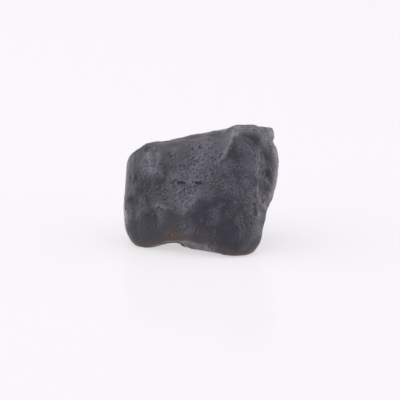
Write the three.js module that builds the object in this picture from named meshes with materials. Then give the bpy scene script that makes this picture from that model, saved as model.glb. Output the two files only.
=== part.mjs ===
// A tektite: one lump of black natural glass, splashed out molten by a meteorite impact and
// then etched matt in the ground. It is a blunt block with a sloping, hollowed front. A thick
// fold of glass hangs down the front at its right end and runs on to the left as a band along
// the foot. The right side is dished, and the stone arches clear of the ground under the left
// half of its front.
//
// Millimetres, +Z up, front towards -Y. The stone stands on its flat underside at z = 0, and
// the origin is under the middle of its box.

import * as THREE from "three";
import { mergeVertices } from "three/addons/utils/BufferGeometryUtils.js";
import { SimplexNoise } from "three/addons/math/SimplexNoise.js";

// Driving dimensions: the box that the finished stone fills.
const LENGTH = 36.4;
const DEPTH = 23.6;
const HEIGHT = 28.5;

// How the surface is worn and uneven.
const EDGE_WEAR = 1.15; // how far the edges between the flats are worn round
const FOLD_BLEND = 0.6; // width of the crease where the fold runs into the body
const ARCH_WEAR = 0.5; // rounding inside the arch
const LIP_WEAR = 0.4; // rounding of the lip round the arch
const WAVE_HEIGHT = 0.3;
const WAVE_LENGTH = 7;
const WAVE_SEED = 5;

const BALL_DETAIL = 20; // the ball that is shaped into the stone has 20 * (20 + 1)^2 triangles
const HALVINGS = 32; // steps in the search for the surface

// A point inside the stone that every bit of the surface can be seen from.
const HEART = new THREE.Vector3(0, 1, 12);

// A flat that the glass set or broke along: the way that it faces, and a place on it.
function flat(facing, place) {
  const normal = new THREE.Vector3(...facing).normalize();
  return new THREE.Plane(normal, -normal.dot(new THREE.Vector3(...place)));
}

// Flats that the blocks below share. A foot leads down to the ground.
const BAND_FRONT = flat([-0.3, -0.95, 0.08], [-8, -7.1, 9.5]);
const BAND_FOOT = flat([-0.3, -0.85, -0.45], [-9, -6.9, 3]);
const FOLD_FRONT = flat([0.08, -0.93, 0.36], [9, -11, 2.4]);
const FOLD_FLANK = flat([-0.275, -0.806, 0.524], [6.8, -2.7, 24.4]);
const LEFT_END = flat([-1, -0.05, 0], [-18.2, 0, 14]);
const LEFT_FOOT = flat([-0.75, -0.2, -0.63], [-17.6, 0, 0.9]);
const RIGHT_END = flat([0.95, -0.22, 0.27], [18.3, -1, 16]);
const UNDERSIDE = flat([0, 0, -1], [0, 0, -0.7]);

// The body of the stone, with the hollow of its front.
const BODY = [
  BAND_FRONT,
  BAND_FOOT,
  LEFT_END,
  flat([-0.8, -0.05, 0.6], [-17.8, 0, 20.8]), // left shoulder
  LEFT_FOOT,
  flat([-0.175, -0.08, 1], [0, 4, 24.6]), // top
  flat([-0.22, -0.9, 0.37], [-12.6, 0.2, 21.3]), // left of the front
  flat([0, -0.95, 0.31], [-5, -2.2, 18.5]), // middle of the front
  flat([0, 0.98, 0.15], [0, 12.6, 12]), // back
  flat([-0.5, 0.85, 0.1], [-13, 9.3, 10]), // back, left
  flat([-0.15, 0.6, 0.75], [-6, 10.4, 23.2]), // back, up to the top
  flat([0, 0.75, -0.66], [0, 10, 2]), // back, down to the ground
  RIGHT_END,
  flat([0.97, 0.1, -0.36], [16, 4, 11.5]), // right end, drawn in towards the ground
  flat([0.6, 0.8, 0.1], [14, 8, 15]), // back, right
  flat([0.15, 0.5, 0.86], [13, 6.5, 26.2]), // back, right, up to the top
  UNDERSIDE,
];

// The band along the foot of the front, which stands out from the hollow above it.
const BAND = [
  BAND_FRONT,
  FOLD_FRONT,
  flat([-0.12, -0.4, 0.9], [-12, -5.5, 10]), // ledge along its top
  BAND_FOOT,
  LEFT_END,
  LEFT_FOOT,
  flat([1, 0, 0], [5, 0, 0]), // right, inside the fold
  flat([0, 1, 0], [0, 3, 0]), // back, inside the body
  UNDERSIDE,
];

// The wide flank on the left of the fold.
const FLANK = [
  BAND_FRONT,
  FOLD_FRONT,
  FOLD_FLANK,
  flat([-0.175, -0.08, 1], [0, 4, 24]), // top
  flat([-1, 0, 0], [-8, 0, 0]), // left, inside the body
  flat([1, 0, 0], [8, 0, 0]), // right, inside the fold
  flat([0, 1, 0], [0, 4, 0]), // back, inside the body
  flat([0, -0.3, -1], [0, -6, 7]), // down, inside the band
];

// The thick fold of glass down the right end of the front.
const FOLD = [
  FOLD_FRONT,
  FOLD_FLANK,
  flat([-0.87, -0.12, 0.49], [3.4, -3.7, 21.7]), // left flank, at the top
  BAND_FRONT,
  flat([0.82, -0.57, 0.08], [13.7, -5.9, 13]), // right flank
  RIGHT_END,
  flat([0.12, 0, 1], [11, 1, 29.1]), // top
  flat([0, 0.62, 0.78], [11, 4.3, 27.6]), // back, at the top
  flat([0.1, 1, 0.1], [11, 8, 20]), // back
  flat([-0.8, 0.6, 0], [4, 6, 10]), // back, left, inside the body
  flat([0.6, -0.3, -0.74], [13.6, -8, 1.2]), // right flank, down to the ground
  flat([0.05, -0.9, -0.42], [9, -10.9, 0]), // front, down to the ground
  flat([0.97, 0.1, -0.36], [15, 4, 11.5]), // right end, drawn in towards the ground
  UNDERSIDE,
];

// The gap under the left half of the front, where the stone arches clear of the ground.
const ARCH = [
  flat([0.3, 0.52, 0.8], [-3, -3.7, 0]), // slope down to the right foot
  flat([-0.7, 0.2, 0.7], [-12.2, -4, 0]), // slope down to the left foot
  flat([-0.25, 0.35, 1], [-6, -7, 2.8]), // roof
];

// Something raised on the surface or sunk in it, along a path: its height (negative when it
// is sunk), how far from the path it spreads, and the places that the path joins up.
function mark(height, spread, ...places) {
  const path = places.map((place) => new THREE.Vector3(...place));
  return { height, spread, path };
}

const MARKS = [
  mark(-1.2, 2.2, [15.3, -1.2, 22.7], [15.5, -1.7, 19.2], [14.1, -4.4, 12]), // dish, right side
  mark(0.6, 1.5, [17.6, 2.2, 22], [17.6, 2.2, 17], [16.6, 1, 11.5]), // rim of the dished side
  mark(-0.7, 1, [-17, -2.6, 13], [-14.5, -4, 11], [-9.5, -5.8, 9.9]), // groove over the band
  mark(0.7, 1, [15.8, 1, 26.7]), // knob on the right shoulder
  mark(-0.8, 0.8, [14.6, -3, 27], [14.6, 3, 27.4]), // notch between the fold and the knob
  mark(-0.9, 2.6, [-17, 4.5, 15]), // hollow in the left end
  mark(-0.5, 2.4, [-9, 5, 23.4]), // hollow in the top
  mark(-1.1, 3.2, [-6, 12, 15], [-1, 12.5, 11]), // large hollow in the back
  mark(-0.8, 2.2, [7, 12, 18]), // small hollow in the back
  mark(-0.7, 1.2, [11, 10, 20], [8, 11.5, 13], [9, 11.5, 7]), // groove in the back
  mark(-1.9, 4.5, [-6, 3, 0], [6, 1, 0]), // hollow in the underside
];

// The larger of some numbers, with the corner between them worn round.
function wornMax(values, wear) {
  const most = Math.max(...values);
  const excess = values.reduce((sum, value) => sum + Math.exp((value - most) / wear), 0);
  return most + wear * Math.log(excess);
}

// How far a place is outside a block with these flats: negative inside it.
function outsideBlock(flats, place, wear) {
  return wornMax(flats.map((side) => side.distanceToPoint(place)), wear);
}

// How high a mark stands at a place: its full height on its path, and fading away from it.
function heightOf({ height, spread, path }, place) {
  const nearest = new THREE.Vector3();
  const distances = path.map((start, i) => {
    const stretch = new THREE.Line3(start, path[i + 1] ?? start);
    return stretch.closestPointToPoint(place, true, nearest).distanceTo(place);
  });
  return height * Math.exp(-((Math.min(...distances) / spread) ** 2));
}

THREE.MathUtils.seededRandom(WAVE_SEED);
const waves = new SimplexNoise({ random: THREE.MathUtils.seededRandom });

function waveHeight(place) {
  const { x, y, z } = place.clone().divideScalar(WAVE_LENGTH);
  return WAVE_HEIGHT * waves.noise3d(x, y, z);
}

// How far a place is outside the stone: negative inside it.
function outsideStone(place) {
  const parts = [BODY, BAND, FLANK, FOLD].map((flats) => -outsideBlock(flats, place, EDGE_WEAR));
  const block = -wornMax(parts, FOLD_BLEND);
  const relief = MARKS.reduce((sum, each) => sum + heightOf(each, place), waveHeight(place));
  const arch = outsideBlock(ARCH, place, ARCH_WEAR);
  return wornMax([block - relief, -arch], LIP_WEAR);
}

// How far the surface lies from the heart in one direction, found by halving.
function reach(direction) {
  let inside = 0;
  let outside = LENGTH;
  const place = new THREE.Vector3();
  for (let i = 0; i < HALVINGS; i++) {
    const middle = (inside + outside) / 2;
    place.copy(HEART).addScaledVector(direction, middle);
    if (outsideStone(place) < 0) inside = middle;
    else outside = middle;
  }
  // The ground cuts the underside flat.
  const toGround = direction.z < 0 ? HEART.z / -direction.z : Infinity;
  return Math.min(inside, toGround);
}

// Moves and stretches a shape to fill the stone's box, with the ground left where it is.
function fillBox(geometry) {
  geometry.computeBoundingBox();
  const middle = geometry.boundingBox.getCenter(new THREE.Vector3());
  const size = geometry.boundingBox.getSize(new THREE.Vector3());
  geometry.translate(-middle.x, -middle.y, 0);
  geometry.scale(LENGTH / size.x, DEPTH / size.y, HEIGHT / size.z);
}

// A ball whose every corner is moved in or out, along its line from the heart, to the surface.
function stoneGeometry() {
  const ball = new THREE.IcosahedronGeometry(1, BALL_DETAIL);
  ball.deleteAttribute("normal");
  ball.deleteAttribute("uv");
  const geometry = mergeVertices(ball);
  const positions = geometry.attributes.position;
  const proportions = new THREE.Vector3(LENGTH, DEPTH, HEIGHT);
  const direction = new THREE.Vector3();
  const place = new THREE.Vector3();
  for (let i = 0; i < positions.count; i++) {
    direction.fromBufferAttribute(positions, i).multiply(proportions).normalize();
    place.copy(HEART).addScaledVector(direction, reach(direction));
    positions.setXYZ(i, place.x, place.y, place.z);
  }
  fillBox(geometry);
  geometry.computeVertexNormals();
  return geometry;
}

const glass = new THREE.MeshStandardMaterial({
  color: 0x26252b, // blue-black
  roughness: 0.5, // etched matt
  metalness: 0,
});

const tektite = new THREE.Mesh(stoneGeometry(), glass);
tektite.name = "tektite";

const stone = new THREE.Group();
stone.add(tektite);

export default stone;
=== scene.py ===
# %% [markdown]
# # A tektite
#
# A tektite is black natural glass. A meteorite splashed it out of the ground as a melt, it set
# while it flew, and acids in the soil then etched its skin matt and pitted. This one is a blunt
# block, 36 mm long, with a hollowed front and a thick fold of glass down its right end.
#
# The imported solid gives the block its true size and main shapes. This lesson gives it the skin:
# sharp folds, pits, and a brown glow where the glass is thin enough to let light through, painted
# into its colour along with pale highlights on its rims.

import math
import random

import bpy
import numpy as np
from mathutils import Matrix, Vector, kdtree, noise


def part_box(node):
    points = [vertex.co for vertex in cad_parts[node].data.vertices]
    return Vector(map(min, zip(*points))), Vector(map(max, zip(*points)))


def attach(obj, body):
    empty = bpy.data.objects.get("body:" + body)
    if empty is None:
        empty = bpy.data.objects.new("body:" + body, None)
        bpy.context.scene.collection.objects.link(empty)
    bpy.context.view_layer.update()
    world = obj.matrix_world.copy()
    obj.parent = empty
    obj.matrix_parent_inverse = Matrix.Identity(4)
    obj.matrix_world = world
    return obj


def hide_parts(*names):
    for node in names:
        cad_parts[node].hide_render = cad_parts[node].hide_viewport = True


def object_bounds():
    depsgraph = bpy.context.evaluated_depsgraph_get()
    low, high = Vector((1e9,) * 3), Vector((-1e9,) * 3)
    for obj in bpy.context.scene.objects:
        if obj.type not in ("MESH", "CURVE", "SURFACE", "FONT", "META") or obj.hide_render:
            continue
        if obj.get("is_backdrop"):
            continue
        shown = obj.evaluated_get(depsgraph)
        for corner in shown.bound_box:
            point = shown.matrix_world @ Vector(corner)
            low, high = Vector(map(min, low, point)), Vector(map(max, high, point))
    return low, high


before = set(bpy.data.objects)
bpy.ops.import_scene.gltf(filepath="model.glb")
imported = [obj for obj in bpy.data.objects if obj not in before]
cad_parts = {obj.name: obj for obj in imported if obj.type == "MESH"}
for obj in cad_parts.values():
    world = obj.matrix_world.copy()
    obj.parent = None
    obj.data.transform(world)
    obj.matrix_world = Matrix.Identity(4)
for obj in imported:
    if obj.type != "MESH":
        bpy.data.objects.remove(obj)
cad_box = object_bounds()
MM = 0.001  # places below are in millimetres, and Blender's are in metres
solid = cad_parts["tektite"]
top_corner = [round(v / MM, 1) for v in cad_box[1]]
print("solid:", len(solid.data.polygons), "faces, its box reaches out to", top_corner, "mm")

# %% [markdown]
# ## Camera, table and light
#
# A small specimen is looked at from a little above, through a long lens, so that its sides stay
# upright. The table is a white acrylic sheet lit from below: it shows a faint mirror image and
# hardly any shadow. A wide soft light hangs over the stone, and a white room surrounds it that is
# brightest at its sides, so that the black glass gets pale rims and keeps a dark face.

# %% Camera
CAMERA_RISE = math.radians(17)
CAMERA_AWAY = 400 * MM
LOOK_AT = Vector((-0.16, -1.87, 10.9)) * MM
LENS = 154  # mm
SENSOR = 36  # mm wide
NEAREST = 10 * MM

towards_camera = Vector((0, -math.cos(CAMERA_RISE), math.sin(CAMERA_RISE)))
bpy.ops.object.camera_add(
    location=LOOK_AT + CAMERA_AWAY * towards_camera,
    rotation=(math.pi / 2 - CAMERA_RISE, 0, 0),
)
camera = bpy.context.object
camera.name = "camera"
camera.data.lens = LENS
camera.data.sensor_width = SENSOR
camera.data.clip_start = NEAREST
bpy.context.scene.camera = camera
bpy.context.scene.view_settings.view_transform = "Standard"
print("camera at", [round(v, 3) for v in camera.location])


# %% Helpers for materials
def linear(hex_colour):
    """An sRGB hex colour as the linear red, green, blue and alpha that a shader takes."""
    channels = [int(hex_colour[i : i + 2], 16) / 255 for i in (1, 3, 5)]
    curve = [c / 12.92 if c <= 0.04045 else ((c + 0.055) / 1.055) ** 2.4 for c in channels]
    return (*curve, 1)


def new_material(name):
    """A material with an empty node tree but for its shader, and the tree and shader."""
    material = bpy.data.materials.new(name)
    material.use_nodes = True
    return material, material.node_tree, material.node_tree.nodes["Principled BSDF"]


def add_node(tree, kind, settings=None, **inputs):
    """A node with its settings, and its inputs each given a value or a socket to link from."""
    node = tree.nodes.new(kind)
    for name, value in (settings or {}).items():
        setattr(node, name, value)
    for name, value in inputs.items():
        socket = node.inputs[name.replace("_", " ")]
        if isinstance(value, bpy.types.NodeSocket):
            tree.links.new(value, socket)
        else:
            socket.default_value = value
    return node


# %% Table
TABLE_SIDE = 4
TABLE_COLOUR = "#8c8b8d"
TABLE_GLOSS = 0.1
TABLE_IOR = 1.18  # lower than acrylic's, so that the mirror image stays faint
TABLE_GLOW = 0.6
GLOW_COLOUR = "#fcfafb"

bpy.ops.object.select_all(action="DESELECT")
bpy.ops.mesh.primitive_plane_add(size=TABLE_SIDE)
table = bpy.context.object
table.name = "table"
table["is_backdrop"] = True

acrylic, tree, shader = new_material("lit_white_acrylic")
shader.inputs["Base Color"].default_value = linear(TABLE_COLOUR)
shader.inputs["Roughness"].default_value = TABLE_GLOSS
shader.inputs["IOR"].default_value = TABLE_IOR
shader.inputs["Emission Color"].default_value = linear(GLOW_COLOUR)
shader.inputs["Emission Strength"].default_value = TABLE_GLOW
table.data.materials.append(acrylic)
print("table:", TABLE_SIDE, "m wide, glow", TABLE_GLOW)

# %% Light
LAMP_POWER = 2.8
LAMP_SIDE = 0.9
LAMP_PLACE = (-0.05, -0.02, 0.5)

bpy.ops.object.light_add(type="AREA", location=LAMP_PLACE)
lamp = bpy.context.object
lamp.name = "overhead_softbox"
lamp.data.shape = "RECTANGLE"
lamp.data.size = LAMP_SIDE
lamp.data.size_y = LAMP_SIDE
lamp.data.energy = LAMP_POWER
lamp.rotation_euler = (Vector((0, 0, 0)) - lamp.location).to_track_quat("-Z", "Y").to_euler()
print("lamp:", LAMP_POWER, "W,", LAMP_SIDE, "m wide")

# %% Room, brightest at its sides
ROOM_SIDES = 2.8
ROOM_MIDDLE = 0.5
ROOM_LEFT = 1.05
ROOM_RIGHT = 0.85
SIDES_FROM = 0.45  # how far sideways the brightening starts, where 1 is straight sideways
SIDES_FULL = 0.95
ROOM_COLOUR = "#f7f5ff"

room = bpy.data.worlds.new("white_room")
room.use_nodes = True
tree = room.node_tree
direction = add_node(tree, "ShaderNodeTexCoord").outputs["Generated"]
sideways = add_node(tree, "ShaderNodeSeparateXYZ", Vector=direction).outputs["X"]
off_middle = add_node(tree, "ShaderNodeMath", {"operation": "ABSOLUTE"}, Value=sideways)
brightness = add_node(
    tree,
    "ShaderNodeMapRange",
    {"interpolation_type": "SMOOTHSTEP"},
    Value=off_middle.outputs["Value"],
    From_Min=SIDES_FROM,
    From_Max=SIDES_FULL,
    To_Min=ROOM_MIDDLE,
    To_Max=ROOM_SIDES,
).outputs["Result"]
leftwards = add_node(
    tree, "ShaderNodeMapRange", Value=sideways, From_Min=-1, To_Min=ROOM_LEFT, To_Max=ROOM_RIGHT
).outputs["Result"]
strength = add_node(tree, "ShaderNodeMath", {"operation": "MULTIPLY"}, Value=brightness)
tree.links.new(leftwards, strength.inputs[1])
background = tree.nodes["Background"]
background.inputs["Color"].default_value = linear(ROOM_COLOUR)
tree.links.new(strength.outputs["Value"], background.inputs["Strength"])
bpy.context.scene.world = room
print("room:", ROOM_MIDDLE, "in the middle,", ROOM_SIDES, "at the sides")

# %% [markdown]
# ## The block
#
# The glass set as one lump, so the skin is one closed mesh. It could be pulled out of a cube
# by hand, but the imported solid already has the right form. So a ball is shrunk onto a smoothed
# copy of the solid, remeshed so that its faces are all one size, and shrunk on again. The faces
# are kept very small while the marks are pressed in, and thinned out once they are done.


# %% Helpers for objects and modifiers
def pick_only(thing):
    """Selects one object and makes it the active one."""
    bpy.ops.object.select_all(action="DESELECT")
    thing.select_set(True)
    bpy.context.view_layer.objects.active = thing


def finish_with(thing, kind, **settings):
    """Adds a modifier with its settings and applies it."""
    pick_only(thing)
    modifier = thing.modifiers.new(kind.lower(), kind)
    for name, value in settings.items():
        setattr(modifier, name, value)
    bpy.ops.object.modifier_apply(modifier=modifier.name)


# %% A smoothed copy of the solid to shrink onto
SUBDIVISIONS = 2
WELD = 0.001 * MM

form = bpy.data.objects.new("form", solid.data.copy())
bpy.context.collection.objects.link(form)
pick_only(form)
bpy.ops.object.mode_set(mode="EDIT")
bpy.ops.mesh.select_all(action="SELECT")
bpy.ops.mesh.remove_doubles(threshold=WELD)
bpy.ops.object.mode_set(mode="OBJECT")

# Subdividing draws every corner in, so a trial on a copy shows how far, and the corners are
# moved out by that much first.
trial = form.copy()
trial.data = form.data.copy()
bpy.context.collection.objects.link(trial)
finish_with(trial, "SUBSURF", levels=SUBDIVISIONS, render_levels=SUBDIVISIONS)
for corner, smoothed in zip(form.data.vertices, trial.data.vertices):
    corner.co += corner.co - smoothed.co
bpy.data.objects.remove(trial)
finish_with(form, "SUBSURF", levels=SUBDIVISIONS, render_levels=SUBDIVISIONS)
print("form:", len(form.data.polygons), "faces")

# %% Ball shrunk onto it
FACE_SIZE = 0.15 * MM
BALL_SUBDIVISIONS = 7
BALL_SCALE = 0.7  # of the solid's box, so that the ball holds all of it
SMOOTHINGS = 8

bpy.ops.object.select_all(action="DESELECT")
bpy.ops.mesh.primitive_ico_sphere_add(subdivisions=BALL_SUBDIVISIONS, radius=1)
stone = bpy.context.object
stone.name = "tektite_skin"
low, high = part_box("tektite")
stone.scale = (high - low) * BALL_SCALE
stone.location = (high + low) / 2
bpy.ops.object.transform_apply(location=True, rotation=False, scale=True)
finish_with(stone, "SHRINKWRAP", target=form, wrap_method="PROJECT", use_negative_direction=True)
finish_with(stone, "SHRINKWRAP", target=form, wrap_method="NEAREST_SURFACEPOINT")
finish_with(stone, "REMESH", mode="VOXEL", voxel_size=FACE_SIZE)
finish_with(stone, "SHRINKWRAP", target=form, wrap_method="NEAREST_SURFACEPOINT")
finish_with(stone, "SMOOTH", factor=0.5, iterations=SMOOTHINGS)
bpy.data.objects.remove(form)
print("skin:", len(stone.data.polygons), "faces of about", FACE_SIZE / MM, "mm")


# %% [markdown]
# ## Folds, pits and streaks
#
# Acid in the soil eats the glass unevenly: bubbles open into pits, strain lines into grooves,
# and what is left between them stands up as ridges. Sculpting brushes need a window, so each
# mark is worked out in code instead, as a brush would do it: how far each corner of the mesh
# lies from the mark says how far it moves. The marks of the front are given as they are seen
# from the camera, in mm to the right and up, because that is how one would draw them.


# %% Helpers to read and write the skin
def read_skin():
    """The skin's corners in mm and the way that each one faces."""
    corners = np.empty(len(stone.data.vertices) * 3)
    facing = np.empty_like(corners)
    stone.data.vertices.foreach_get("co", corners)
    stone.data.vertices.foreach_get("normal", facing)
    return corners.reshape(-1, 3) / MM, facing.reshape(-1, 3)


def write_skin(corners):
    """Puts the skin's corners where they are given, in mm."""
    stone.data.vertices.foreach_set("co", (corners * MM).ravel())
    stone.data.update()


def tree_of(places, which):
    """A search tree that finds the nearest of some places."""
    tree = kdtree.KDTree(len(which))
    for i in which:
        tree.insert(places[i], i)
    tree.balance()
    return tree


corners, facing = read_skin()
print("corners:", len(corners))

# %% Where each corner is seen from the camera
eye = np.array(camera.location) / MM
look = np.array(-towards_camera)
upwards = np.cross((1, 0, 0), look)
rays = corners - eye
depth = rays @ look
full_size = CAMERA_AWAY / MM / depth
seen = np.stack([rays[:, 0], rays @ upwards, 0 * depth], axis=1) * full_size[:, None]
in_view = np.flatnonzero((facing * -rays).sum(axis=1) > 0)
seen_tree = tree_of(seen, in_view)
skin_tree = tree_of(corners, range(len(corners)))
print("in view:", len(in_view), "corners")


# %% Helpers to find places on the skin
def front(*spots):
    """The places on the skin that are seen at these spots."""
    return [corners[seen_tree.find((*spot, 0))[1]] for spot in spots]


def skin(*places):
    """The places on the skin nearest to these places."""
    return [corners[skin_tree.find(place)[1]] for place in places]


# %% Helpers for marks
REACH = 1.5  # widths away from its path at which a soft mark has died out
SLOPE = 0.4  # share of a plateau's half width that its slope takes
WALL = 0.75  # power that makes the walls of a pit steep
RIM_AT = 1.15  # half widths from the middle of a pit
RIM_WIDTH = 0.3


def off_path(path, reach):
    """How far each corner is from a path through some places, or infinity out of its reach."""
    nearest = np.full(len(corners), np.inf)
    path = np.array(path if len(path) > 1 else path * 2)
    low, high = path.min(axis=0) - reach, path.max(axis=0) + reach
    close = np.flatnonzero(((corners > low) & (corners < high)).all(axis=1))
    for start, end in zip(path[:-1], path[1:]):
        along = end - start
        share = np.clip((corners[close] - start) @ along / max(along @ along, 1e-9), 0, 1)
        gap = np.linalg.norm(corners[close] - start - share[:, None] * along, axis=1)
        nearest[close] = np.minimum(nearest[close], gap)
    return nearest


def swell(height, width, path):
    """A soft ridge along a path, or a soft groove where height is negative."""
    return height * np.exp(-((off_path(path, REACH * width) / (width / 2)) ** 2))


def lift(height, width, path):
    """A plateau along a path with a short slope all round it."""
    share = np.clip((1 - off_path(path, width) / (width / 2)) / SLOPE, 0, 1)
    return height * share * share * (3 - 2 * share)


def pit(depth, width, path, rim=0.25):
    """A bowl or a trough with steep walls, and a low rim round it."""
    distance = off_path(path, REACH * width) / (width / 2)
    bowl = -depth * np.clip(1 - distance**2, 0, 1) ** WALL
    return bowl + rim * depth * np.exp(-(((distance - RIM_AT) / RIM_WIDTH) ** 2))


# %% Helper to press marks into the skin
FOOT_FADE = 0.4  # mm above the table over which the marks die out, so that the feet stay flat


def press(title, marks, towards=None, keep_feet=True):
    """Moves the skin out by the height that the marks add up to, or some other way."""
    global corners, facing
    height = sum(marks)
    if keep_feet:
        height = height * np.clip(corners[:, 2] / FOOT_FADE, 0, 1)
    way = facing if towards is None else np.array(towards)
    write_skin(corners + way * height[:, None])
    corners, facing = read_skin()
    print(f"{title}: {len(marks)} marks, {height.min():.2f} to {height.max():.2f} mm")


# %% [markdown]
# ### The large marks
#
# The edge of the fold, the lip of the hollow and the rims of the dished side come first,
# because everything smaller sits on them. A few wide ones only true up the outline.

# %% Large marks of the fold
fold_marks = [
    # edge of the fold, and its top corner
    swell(0.22, 1, front(
        (8.5, 16.8), (8.1, 15.2), (7.5, 13.8), (6.8, 12.4), (6.1, 11), (5.3, 9.6), (4.2, 8.4),
    )),
    swell(0.15, 1.5, front((8.2, 16.7))),
    # groove and swelling on its face
    swell(-0.1, 2.4, front((8.9, 13.6), (8.2, 11.7), (7.2, 9.8))),
    swell(0.12, 1.8, front((10.1, 13.6), (9.8, 11.2))),
    swell(0.2, 2.4, front((14.3, 13.4))),
]
print("fold:", len(fold_marks), "large marks")

# %% Large marks of the hollow
hollow_marks = [
    # lip of the hollow, with lumps, and the swelling above its left end
    swell(0.6, 2.6, front(
        (-9.4, -1.6), (-7.5, -2.1), (-5.6, -3), (-3.7, -3.2), (-2.3, -2.4), (-0.7, -0.2),
    )),
    swell(0.6, 2.4, front((-8.4, -2), (-7.2, -2.3))),
    swell(0.3, 2, front((-8.4, -3.2), (-7.6, -3.3))),
    swell(0.3, 3, front((-2.6, -3.6))),
    swell(0.5, 4.4, front((-13.8, 2), (-12.4, 1.1), (-10.5, 0.4))),
    # left edge of the band under the hollow, made sharper
    swell(0.45, 3, front((-16.1, -2.6), (-16.2, -5))),
    # bulge on the left of the hollow, and the dish beside it
    swell(0.7, 5, front((-11.9, 5.6), (-10.5, 5.6))),
    swell(0.25, 1.6, front((-11.7, 10.8), (-11.3, 8.9), (-10.8, 6.8))),
    swell(0.2, 1.2, front((-9.6, 10.8), (-9.7, 8.9), (-10, 7))),
    swell(-0.12, 3.5, front((-8.1, 9.1), (-7.2, 7.4))),
    # lump on the left edge
    swell(0.25, 2.2, front((-17.1, 0), (-17.2, -1.6))),
]
print("hollow:", len(hollow_marks), "large marks")

# %% Large marks of the dished side, the foot and the outline
side_marks = [
    # rims of the dished side, left and right
    swell(0.35, 1.4, front((13.4, 4.8), (13.3, 2.8), (13.4, 0.9), (13.9, -0.7), (14.7, -1.6))),
    swell(0.35, 2.2, front(
        (16.1, 15), (16.8, 12.9), (17.5, 10.5), (17.8, 7.9), (17.5, 5.4), (17.1, 2.8),
        (16.2, 0.5), (15.3, -1.5),
    )),
    # the dished side itself
    swell(-0.15, 2.8, front((15.1, 10.5), (15.2, 6.5), (14.9, 2.3))),
    # foot to the right of the arch, a little fuller
    swell(0.5, 2.6, front((-2, -10.9), (3.5, -11.7), (9, -12.1), (10.8, -12.1))),
    # wide dent low on the band
    swell(-0.25, 6, front((-9.4, -7.5), (-4, -7.5))),
    # outline, a little fuller at the left and leaner at both ends low down
    swell(0.45, 7, front((-16.6, 7.5), (-16.7, 4.7), (-17.1, -0.5))),
    swell(0.2, 3, front((-15.8, -8), (-15.3, -9))),
    swell(0.25, 6, front((-14, 12.2), (-11.7, 13.2))),
    swell(-0.75, 4, front((15.2, -3), (14.6, -5.4))),
    swell(-0.45, 6, front((-17.2, -3), (-17.2, -4.9))),
    swell(-0.2, 4, front((-8.2, 14), (-5, 14.8))),
    # knob at the top right
    swell(0.8, 1.8, front((16.4, 16.2), (16.4, 14.8))),
    # small trims along the top left and low on the right
    swell(0.15, 3, front((-9.4, 13.8))),
    swell(-0.2, 3.5, front((-15.6, 11.2))),
    swell(0.4, 4, front((13.7, -4.5), (13.5, -9.3))),
]
print("dished side, foot and outline:", len(side_marks), "large marks")

# %% Press the large marks
press("large marks", fold_marks + hollow_marks + side_marks)

# %% [markdown]
# ### The arch
#
# The stone stands on two feet. The skin between them is lifted straight up, which keeps the
# front edge of the arch crisp, and a plateau does that better than a soft swelling.

# %% Lift the arch between the feet
press("arch", [
    lift(0.8, 4, skin((-8, -3.6, 0.4), (-5.9, -3.6, 0.3))),
    lift(0.7, 3.6, skin((-6.6, -3.6, 0.4), (-5.7, -3.6, 0.3))),
    lift(0.5, 3.4, skin((-7, -6.2, 1.7), (-5.1, -6.2, 1.5))),
], towards=(0, 0, 1), keep_feet=False)

# %% [markdown]
# ### Where the acid bit
#
# The flank of the hollow and a few patches are rough and grey, and the fold and the band are
# smooth and dark. One number per corner, from 0 to 1, says how rough the skin is: it drives the
# grain now, and the colour and the gloss of the glass later. Round the back it comes from noise.
# A second number says where a highlight is painted on, which is mostly the rims and the edge of
# the fold.


# %% Helpers for places and noise
def near(share, width, path):
    """A share of 0 to 1 on a path that fades out at both of its sides."""
    return swell(share, width, path)


def cloud(size, seed, stretch=(1, 1, 1)):
    """Soft noise for each corner, about -1 to 1, with lumps of about this size in mm."""
    offset = Vector((seed, 0, 0))
    places = corners * (np.array(stretch) / size)
    return np.array([noise.noise(Vector(place) + offset) for place in places])


def cells(size, seed):
    """Noise like bowls side by side, 0 in the middle of each and about 1 on their edges."""
    offset = Vector((seed, 0, 0))
    return np.array([noise.voronoi(Vector(place) + offset)[0][0] for place in corners / size])


# %% Rough places of the hollow
hollow_rough = [
    # flank of the hollow
    near(0.65, 6, front((1.2, 12.4), (0, 9.4), (-1.4, 6.5), (-1.9, 3.3), (-2.8, 0.7))),
    # bay under the fold
    near(0.15, 4.5, front((3.7, 12.6), (5.1, 11.7))),
    near(0.4, 2.4, front((4.4, 8.2), (6.2, 7))),
    # left of the hollow
    near(0.58, 4, front((-11.8, 8.9), (-11.1, 7))),
    # low in the hollow
    near(0.15, 3.5, front((-11.2, 3.7), (-8.7, 2.3), (-6.5, 3), (-4.2, 1.6))),
    # its lip
    near(0.35, 1.8, front((-8.8, -1.2), (-7.5, -1.6), (-5.6, -2.4), (-3.7, -2.5), (-2.3, -1.8))),
    # under the arch's right end
    near(0.6, 2, front((-2.6, -10.2), (0, -10.8), (3.3, -11.3))),
]
print("hollow:", len(hollow_rough), "rough places")

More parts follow.
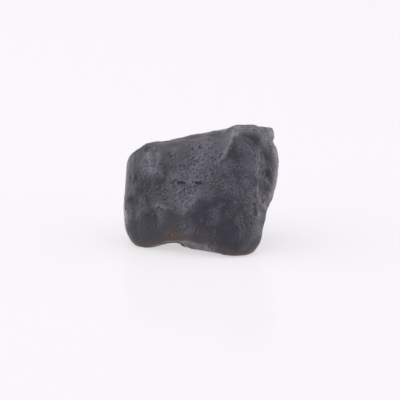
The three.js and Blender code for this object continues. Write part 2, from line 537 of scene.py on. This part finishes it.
# %% Rough places of the fold and of the dished side
fold_rough = [
    # right of the fold
    near(0.5, 2.2, front((11.9, 2.8), (11.7, 0))),
    # face of the fold, only a little
    near(0.18, 9, front((6, 6), (9, 2))),
    near(0.25, 3, front((2.3, 0.4))),
    # patches on the fold
    near(0.3, 3, front((6.1, 3))),
    near(0.25, 3, front((3.4, -3), (3.4, -4.4))),
    near(0.25, 2.5, front((9.4, -3.7), (9.1, -4.9))),
    near(0.2, 4, front((7, 8.2), (9.4, 6.5))),
    near(0.3, 4, front((11, 11.7))),
    near(0.4, 3.5, front((11, 9.4), (11, 3.7))),
    near(0.3, 3, front((1.9, 8.2), (2.8, 5.1))),
    near(0.4, 2, front((11.7, -2.6), (11.9, -4.7))),
    # top of the fold
    near(0.4, 2.5, front((9.4, 16.6), (12.9, 16.1))),
    # in the dished side
    near(0.5, 1.5, front((15.2, 12.2))),
    near(0.45, 1.4, front((14.3, 8.4))),
    near(0.5, 1.4, front((15.1, 16.4))),
    near(0.5, 1, front((10.4, 5.4))),
    near(0.2, 2.4, front((10.6, -0.9), (11.2, -4.4))),
    near(0.7, 1.8, front((14.3, 1.9), (14.7, -0.2))),
    near(0.6, 1.5, front((15.3, 4.4), (15.6, 3.4))),
]
print("fold and dished side:", len(fold_rough), "rough places")

# %% How rough each corner is
LEAST_ROUGH = 0.05
MOST_ROUGH = 0.7
BACK_ROUGH = 0.6  # at most, where the noise is strongest
BACK_SHIFT = 0.35  # added to the noise, so that most of the back is rough
PATCHY = 0.5

behind = np.clip(2 * facing[:, 1], 0, 1)
rough = LEAST_ROUGH + np.clip(cloud(7, 3) + BACK_SHIFT, 0, BACK_ROUGH) * behind
rough = np.maximum.reduce([rough, *hollow_rough, *fold_rough])
rough = np.clip(rough * (1 + PATCHY * cloud(1.6, 8)), 0, MOST_ROUGH)
print("roughness of the skin: mean", round(float(rough.mean()), 2), "most", float(rough.max()))

# %% Painted highlights, mostly on the rims
HIGHLIGHT_PATCHY = 0.9
HIGHLIGHT_ROUGH = 0.6  # the skin is at least this rough where the painted highlight is strongest

edges = [
    # painted highlights on the streaks on the left of the hollow
    near(0.2, 1.4, front((-11.8, 10.8), (-11.5, 9.1), (-11, 7.5), (-10.4, 6.1))),
    near(0.2, 1.2, front((-9.6, 10.8), (-9.4, 9.4), (-9.8, 7.9), (-10, 6.3))),
    near(0.3, 2.6, front((-11.5, 7.5), (-10.6, 6.1))),
    near(0.25, 1.8, front((-9.4, 7.2), (-9.2, 5.7))),
    # painted highlight along the edge of the fold, broad at its top
    near(0.3, 0.9, front((7.5, 13.8), (6.8, 12.4), (6.1, 11), (5.3, 9.6))),
    near(0.7, 2, front((9, 16.7), (8.4, 15.2))),
    # painted highlights on the rims of the dished side
    near(0.4, 1.4, front((13.3, 2.8), (13.4, 0.9), (14, -0.7), (14.7, -1.6))),
    near(0.8, 2.4, front(
        (16.1, 15), (16.8, 12.9), (17.7, 10.5), (17.9, 7.9), (17.7, 5.4), (17.1, 2.8),
        (16.2, 0.5), (15.2, -1.5),
    )),
    # painted light from the table on the undercut beside the arch, and a painted highlight on the
    # top of the fold
    near(0.45, 1.8, front((-3, -9.9), (0, -10.7), (1.6, -11))),
    near(0.3, 2.2, front((9.4, 16.9), (13, 16.6))),
    # painted highlights on streaks low in the dished side
    near(0.35, 1.4, front((15.4, 4.4), (15.5, 3.6))),
    near(0.35, 1.6, front((14.5, 1), (14.7, -0.4))),
    # painted highlight on the knob
    near(0.6, 3.4, front((15.9, 16.1), (15.9, 14.8))),
    # painted highlight on the left rim
    near(0.45, 1.2, front((-16.1, 10.3), (-16.6, 8.2), (-16.8, 4.7))),
]
painted_highlight = np.clip(np.maximum.reduce(edges) * (1 + HIGHLIGHT_PATCHY * cloud(1.6, 14)), 0, 1)
# the painted highlights also make the skin rougher there, and so greyer and less glossy
rough = np.maximum(rough, HIGHLIGHT_ROUGH * painted_highlight)
print("rough skin:", round(100 * float((rough > 0.4).mean())), "% of the corners")

# %% [markdown]
# ### The marks in the hollow
#
# Two bright streaks run down its left side, a row of deep pits crosses it and rings lie round
# them. Each pit is a bubble that the acid has opened.

# %% Press the marks in the hollow
press("hollow", [
    swell(0.2, 0.8, front((-11.8, 10.8), (-11.5, 9.1), (-11.3, 7.5), (-10.6, 5.8))),
    swell(0.2, 0.8, front((-9.7, 10.8), (-9.3, 9.4), (-9.9, 7.9), (-10, 6.5))),
    pit(0.5, 1.8, front((-12.2, 11.8), (-11.4, 11.8)), rim=0.1),
    pit(0.12, 0.59, front((-7.7, 10.4), (-7, 10.9))),
    pit(0.15, 0.78, front((-2.3, 12.6))),
    pit(0.22, 0.7, front((0, 12.4)), rim=0.5),
    pit(0.5, 0.75, front((-5, 4), (-3.7, 3.9))),
    pit(0.55, 0.85, front((-0.9, 4), (0.1, 3.9))),
    pit(0.22, 1.2, front((-4.3, 1.6)), rim=0.4),
    pit(0.12, 1, front((-10.2, 3.2)), rim=0.4),
    pit(0.15, 0.65, front((-9, 3.5))),
    pit(0.15, 0.72, front((-7.7, 2))),
    swell(0.2, 0.4, front((-9.2, 0.5), (-8.7, 0), (-8.1, 0.3))),
    swell(0.2, 0.4, front((-8.4, 1.2), (-7.7, 0.6))),
    swell(0.2, 0.5, front((-8.7, 2.2))),
    pit(0.15, 0.65, front((-6.4, 3.7), (-5.8, 4.6))),
    swell(0.2, 0.4, front((-7.5, 5.4), (-6.8, 4.3), (-6.3, 3.3))),
    pit(0.17, 0.78, front((-2.5, -1.6))),
    swell(0.2, 0.5, front((-4.4, -2.3))),
    pit(0.15, 0.65, front((1.6, 7.6))),
    pit(0.15, 0.65, front((2.5, 7))),
    pit(0.15, 0.65, front((3.2, 6))),
    pit(0.12, 0.59, front((0.9, 6.3))),
    pit(0.12, 0.59, front((3.4, 7.7))),
    pit(0.17, 0.65, front((3, 15.3), (3.9, 15.2))),
    swell(0.15, 0.45, front((3.5, 14.7), (4.4, 14.8))),
    pit(0.12, 0.59, front((4.9, 12))),
    pit(0.12, 0.59, front((3.7, 11.2))),
    swell(0.18, 0.5, front((4.4, 10.2))),
])

# %% Press the marks on the fold and the dished side
press("fold", [
    pit(0.12, 0.52, front((12.6, 11.5))),
    swell(-0.15, 0.6, front((11, 14.7), (11.7, 14.4), (12.2, 13.8))),
    pit(0.12, 0.59, front((5.5, 3.7))),
    pit(0.12, 0.59, front((6.4, 3))),
    pit(0.12, 0.59, front((7.1, 3.7))),
    pit(0.1, 0.52, front((6.9, 2.2))),
    swell(0.2, 0.5, front((10.9, 5.7), (10.7, 4))),
    swell(0.15, 0.5, front((6.8, 1.2))),
    swell(0.25, 0.5, front((12, 2.3))),
    swell(0.25, 0.5, front((11.7, 0.7))),
    pit(0.15, 0.78, front((12.7, 1.4), (12.6, 0.5))),
    swell(0.25, 0.5, front((11.3, -1.1))),
    pit(0.3, 1.6, front((12.6, -1.4), (13.1, -2.6))),
    swell(0.35, 1.8, front((12.5, -0.5))),
    swell(-0.25, 1.6, front((12.4, -1.2), (13.3, -2.6))),
    swell(0.3, 0.5, front((11.9, -3.6), (12.5, -3.2), (13.1, -3.5))),
    swell(-0.35, 1.7, front((14.9, 10.6), (15.2, 9.9))),
    swell(-0.3, 1.4, front((15.5, 6.4), (15.3, 5.8))),
    swell(-0.25, 1.1, front((14, 6.1), (14, 5.6))),
    pit(0.17, 0.78, front((13.4, 5.4))),
    swell(-0.35, 1.7, front((15.4, 2.6), (14.6, 2.1))),
    swell(0.35, 0.9, front((14.7, 0.7))),
    swell(0.3, 0.9, front((15.4, 4))),
    pit(0.15, 0.78, front((14.5, -0.7))),
    swell(0.3, 0.6, front((14.4, 8.2))),
    # notch beside the knob, and the knob
    pit(0.3, 0.8, front((15.2, 16.8), (15.2, 16.1))),
    swell(0.35, 1.2, front((16, 15.7))),
])

# %% Press the marks low down and on the left edge
press("low marks", [
    pit(0.1, 0.52, front((-15.4, -3.2))),
    swell(0.15, 0.4, front((-15.3, -2.6))),
    pit(0.12, 0.52, front((-5.1, -6.3))),
    pit(0.12, 0.52, front((-4.3, -5.7))),
    pit(0.12, 0.52, front((-3.7, -6.9))),
    swell(0.2, 0.4, front((-5, -7))),
    swell(0.15, 0.35, front((-3.3, -5.1), (-3.3, -6.5))),
    pit(0.1, 0.52, front((-2.8, -4.6), (-2.2, -4.4))),
    pit(0.22, 0.7, front((0.8, -8.1))),
    pit(0.26, 1.2, front((3, -10.2))),
    pit(0.1, 0.52, front((9.2, -4.4))),
    pit(0.1, 0.52, front((8.5, -5.4))),
    swell(0.2, 0.4, front((9.7, -4))),
    swell(0.08, 0.6, front((-14, -6.1), (-14, -7.9))),
    swell(0.15, 0.5, front((-15.1, 9.8), (-15.2, 5.1))),
    swell(-0.15, 0.4, front((-15.7, 10.1), (-15.8, 5.1))),
])

# %% [markdown]
# ### The back
#
# Tektites are marked all round, so the back gets what the front has: broad bowls where gas
# bubbles opened, and a few grooves that wander across. The bowls are dealt out by a random
# number generator with a fixed seed, so that every run gives the same stone.

# %% Press bowls and grooves into the back
BACK_BOWLS = 26
BOWL_WIDTHS = (1.4, 4.5)  # mm
BOWL_DEPTHS = (0.08, 0.14)  # of the width
GROOVE = 0.35  # mm deep
LOWEST_BOWL = 2  # mm above the table

chance = random.Random(4)
back = np.flatnonzero((facing[:, 1] > 0.1) & (corners[:, 2] > LOWEST_BOWL))
bowls = []
for _ in range(BACK_BOWLS):
    width = chance.uniform(*BOWL_WIDTHS)
    depth = chance.uniform(*BOWL_DEPTHS) * width
    bowls.append(pit(depth, width, [corners[chance.choice(back)]], rim=0.3))
press("back", bowls + [
    swell(-GROOVE, 1.5, skin(
        (-14, 9, 5), (-10, 12, 8), (-6, 12, 10), (-2, 12, 9), (2, 12, 11),
    )),
    swell(-GROOVE, 1.2, skin((8, 12, 3), (9.5, 12, 7), (9.5, 11, 11), (8, 10, 15))),
    swell(-GROOVE, 1.3, skin(
        (-11, 10, 17), (-7, 11, 16), (-3, 10, 18), (1, 8, 20), (4, 7, 23),
    )),
    swell(GROOVE, 1.6, skin((3, 12, 4), (5, 12, 8), (5, 11, 13), (3, 10, 17))),
])

# %% [markdown]
# ### Grain and scattered pits
#
# Etched glass is covered in shallow bowls that meet in sharp little ridges, about 0.5 to 1 mm
# across. They are drawn with cell noise, strong where the skin is rough. Flow lines, left from
# when the glass was pulled out of shape, run down the left end and along the top.

# %% Press the grain
GRAIN = 0.2  # mm from the bottom of a bowl to its ridges where the skin is roughest
WAVES = 0.10  # mm
FLOW = 0.05  # mm
SMOOTH_GRAIN = 0.06  # share of the grain that the smoothest skin still gets
SMOOTH_WAVES = 0.25
RIDGE = 0.5  # the cell noise from which a bowl counts as its ridge
SINK = 0.8  # share of a bowl that lies under the skin's old surface
ALONG = 0.2  # squeezes the noise, so that its lumps are drawn out into lines

# The lines start 8 mm left of the middle and 20 mm up, and are in full after 6 and 3 mm.
left_end = np.clip((-corners[:, 0] - 8) / 6, 0, 1)
along_top = np.clip((corners[:, 2] - 20) / 3, 0, 1) * np.clip(-corners[:, 0] / 4 + 1.5, 0, 1)
press("grain", [
    GRAIN * (SMOOTH_GRAIN + rough) * (np.clip(cells(1.1, 5) / RIDGE, 0, 1) - SINK),
    GRAIN * (SMOOTH_GRAIN + rough) * cloud(0.75, 9),
    WAVES * (SMOOTH_WAVES + rough) * cloud(2.2, 1),
    FLOW * left_end * cloud(0.7, 4, stretch=(1, 1, ALONG)),
    FLOW * along_top * cloud(0.7, 6, stretch=(ALONG, 1, 1)),
])

# %% Scatter small pits
PITS = 420
PIT_WIDTHS = (0.45, 1.1)  # mm
PIT_DEPTHS = (0.08, 0.2)  # of the width
LEAST_CHANCE = 0.06  # that a pit falls on smooth skin

chance = random.Random(11)
pits = []
while len(pits) < PITS:
    i = chance.randrange(len(corners))
    width = chance.uniform(*PIT_WIDTHS)
    if chance.random() < LEAST_CHANCE + rough[i]:
        pits.append(pit(chance.uniform(*PIT_DEPTHS) * width, width, [corners[i]], rim=0.4))
press("scattered pits", pits)

# %% [markdown]
# ### Where the glass is thin, a painted brown glow
#
# Along the foot and the underside of the band the glass is thin enough for brown light to come
# through. That light is painted into the colour as a brown glow, and a third number per corner
# says how much. It isn't a mark in the skin, only a painted tint.

# %% Where a brown glow is painted, as light through the thin glass
BROWN_PATCHY = 0.7

brown = np.maximum.reduce([
    near(0.75, 3, front((-7.2, -8.7), (-4.4, -8.8))),
    near(0.6, 2.4, front((-15.2, -10.1), (-12.2, -10.6), (-8.2, -10.1), (-5.1, -9.7))),
    near(0.35, 2, front((0.8, -7.9))),
    near(0.4, 1.8, front((5.8, -11.7), (9.4, -12.4), (11.5, -12))),
    near(0.2, 2.5, front((1.2, -9.4), (3.5, -10.1))),
])
brown = np.clip(brown * (1 + BROWN_PATCHY * cloud(2, 12)), 0, 1)
print("brown skin:", round(100 * float((brown > 0.1).mean()), 1), "% of the corners")

# %% [markdown]
# ### Fewer faces
#
# The marks needed small faces everywhere while they were pressed in. Decimating folds the small
# faces together where the skin is nearly flat and leaves them where it is sharp. The three
# numbers are then stored on the corners that are left, for the glass to read.

# %% Thin out the faces where the skin is flat, and keep the records
SHARE_KEPT = 0.52
FLAT_BELOW = 0.03  # mm above the table under which a foot is made flat

dense_tree = tree_of(corners, range(len(corners)))
finish_with(stone, "DECIMATE", decimate_type="COLLAPSE", ratio=SHARE_KEPT)
corners, facing = read_skin()
source = [dense_tree.find(place)[1] for place in corners]
corners[:, 2] = np.where(corners[:, 2] < FLAT_BELOW, 0, corners[:, 2])
write_skin(corners)
for name, values in (("rough", rough), ("painted_highlight", painted_highlight), ("brown", brown)):
    layer = stone.data.attributes.new(name, "FLOAT", "POINT")
    layer.data.foreach_set("value", values[source])
stone.data.calc_loop_triangles()
lowest = round(corners[:, 2].min(), 3)
print("skin:", len(stone.data.loop_triangles), "triangles, down to", lowest, "mm")

# %% [markdown]
# ## The glass
#
# Tektite glass is black and rich in silica, with an IOR of about 1.5. Only a thin edge lets
# light through, and it is brown there. Etching leaves the skin satin: where the acid bit hard
# it scatters light and looks grey, and the smooth places look deeper. Colour, roughness and a
# fine bump follow the record of rough places, and noise breaks all three up. The record of thin
# places paints that brown light into the colour as a glow, and the record of painted highlights
# lightens it on the rims and edges.

# %% Etched tektite glass
SMOOTH_COLOUR = "#28272f"
ROUGH_COLOUR = "#55535e"
# pale colour of the painted highlights
PAINTED_HIGHLIGHT_COLOUR = "#807b7f"
# brown of the painted glow, where light would come through thin glass
PAINTED_GLOW_COLOUR = "#4f3a2c"
SMOOTH_GLOSS = 0.28
ROUGH_GLOSS = 0.48
SMOOTH_BITE = 0.05
ROUGH_BITE = 1.0
BITE = 0.3  # mm
GLASS_IOR = 1.5
DUST = 0.2
DUST_SPREAD = 0.35
DUST_COLOUR = "#fff1ee"

glass, tree, shader = new_material("etched_tektite_glass")
place = add_node(tree, "ShaderNodeTexCoord").outputs["Object"]
etched = add_node(tree, "ShaderNodeAttribute", {"attribute_name": "rough"}).outputs["Fac"]
# the records of the painted highlights and of the painted brown glow
highlight_share = add_node(tree, "ShaderNodeAttribute", {"attribute_name": "painted_highlight"}).outputs["Fac"]
glow_through = add_node(tree, "ShaderNodeAttribute", {"attribute_name": "brown"}).outputs["Fac"]
print("material:", glass.name)

# %% Its fine noise
MOTTLE_SIZE = 1.2 * MM
FROST_SIZE = 0.6 * MM
BOWL_SIZE = 0.65 * MM
BOWL_EDGE = 0.5  # distance from the middle of a cell at which its ridge stands
BOWL_DARK = -0.5  # change of greyness on a bowl's floor, and on its ridge
BOWL_LIGHT = 0.25

mottle = add_node(
    tree, "ShaderNodeTexNoise", Vector=place, Scale=1 / MOTTLE_SIZE, Detail=4, Roughness=0.65
).outputs["Fac"]
frost = add_node(
    tree, "ShaderNodeTexNoise", Vector=place, Scale=1 / FROST_SIZE, Detail=2, Roughness=0.5
).outputs["Fac"]
bowls = add_node(
    tree, "ShaderNodeTexVoronoi", Vector=place, Scale=1 / BOWL_SIZE
).outputs["Distance"]
ridges = add_node(
    tree,
    "ShaderNodeMapRange",
    Value=bowls,
    From_Min=0.1,
    From_Max=BOWL_EDGE,
    To_Min=BOWL_DARK,
    To_Max=BOWL_LIGHT,
).outputs["Result"]
spots = add_node(
    tree,
    "ShaderNodeMapRange",
    {"interpolation_type": "SMOOTHSTEP"},
    Value=bowls,
    From_Min=0.05,
    From_Max=BOWL_EDGE,
).outputs["Result"]
print("noise in mm:", [round(size / MM, 2) for size in (MOTTLE_SIZE, FROST_SIZE, BOWL_SIZE)])

# %% Its colour
UNEVEN = 0.3  # change of greyness that the mottling brings, either way

uneven = add_node(
    tree,
    "ShaderNodeMapRange",
    Value=mottle,
    From_Min=0.3,
    From_Max=0.7,
    To_Min=-UNEVEN,
    To_Max=UNEVEN,
).outputs["Result"]
speckle = add_node(tree, "ShaderNodeMath", {"operation": "ADD"}, Value=uneven)
tree.links.new(ridges, speckle.inputs[1])
greyness = add_node(
    tree, "ShaderNodeMath", {"operation": "MULTIPLY_ADD", "use_clamp": True}, Value=etched
)
tree.links.new(speckle.outputs["Value"], greyness.inputs[1])
tree.links.new(etched, greyness.inputs[2])
skin_colour = add_node(tree, "ShaderNodeValToRGB", Fac=greyness.outputs["Value"])
stops = skin_colour.color_ramp.elements
stops[0].color = linear(SMOOTH_COLOUR)
stops[1].color = linear(ROUGH_COLOUR)
# painted glow: the colour is tinted brown where light would come through thin glass
tinted = add_node(tree, "ShaderNodeMix", {"data_type": "RGBA"})
tree.links.new(glow_through, tinted.inputs[0])
tree.links.new(skin_colour.outputs["Color"], tinted.inputs[6])
tinted.inputs[7].default_value = linear(PAINTED_GLOW_COLOUR)
# painted highlights: the colour is lightened where the highlight record is high
edged = add_node(tree, "ShaderNodeMix", {"data_type": "RGBA"})
tree.links.new(highlight_share, edged.inputs[0])
tree.links.new(tinted.outputs[2], edged.inputs[6])
edged.inputs[7].default_value = linear(PAINTED_HIGHLIGHT_COLOUR)
tree.links.new(edged.outputs[2], shader.inputs["Base Color"])
print("colours:", SMOOTH_COLOUR, ROUGH_COLOUR, PAINTED_GLOW_COLOUR, PAINTED_HIGHLIGHT_COLOUR)

# %% Its gloss and its bump
gloss = add_node(
    tree,
    "ShaderNodeMapRange",
    Value=greyness.outputs["Value"],
    To_Min=SMOOTH_GLOSS,
    To_Max=ROUGH_GLOSS,
).outputs["Result"]
tree.links.new(gloss, shader.inputs["Roughness"])
shader.inputs["IOR"].default_value = GLASS_IOR
shader.inputs["Sheen Weight"].default_value = DUST
shader.inputs["Sheen Roughness"].default_value = DUST_SPREAD
shader.inputs["Sheen Tint"].default_value = linear(DUST_COLOUR)
bite = add_node(
    tree,
    "ShaderNodeMapRange",
    Value=greyness.outputs["Value"],
    To_Min=SMOOTH_BITE,
    To_Max=ROUGH_BITE,
).outputs["Result"]
relief = add_node(tree, "ShaderNodeMath", {"operation": "MULTIPLY"}, Value=bite)
both = add_node(tree, "ShaderNodeMath", {"operation": "ADD"}, Value=spots)
tree.links.new(frost, both.inputs[1])
tree.links.new(both.outputs["Value"], relief.inputs[1])
bump = add_node(
    tree, "ShaderNodeBump", Strength=1.0, Distance=BITE * MM, Height=relief.outputs["Value"]
).outputs["Normal"]
tree.links.new(bump, shader.inputs["Normal"])

stone.data.materials.clear()
stone.data.materials.append(glass)
pick_only(stone)
bpy.ops.object.shade_smooth()
print("glass:", len(tree.nodes), "nodes")

# %% Hand over
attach(stone, "root")
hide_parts("tektite")

boxes = {"cad": cad_box, "visual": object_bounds()}
boxes = {name: [list(map(float, corner)) for corner in box] for name, box in boxes.items()}
print("boxes:", boxes)
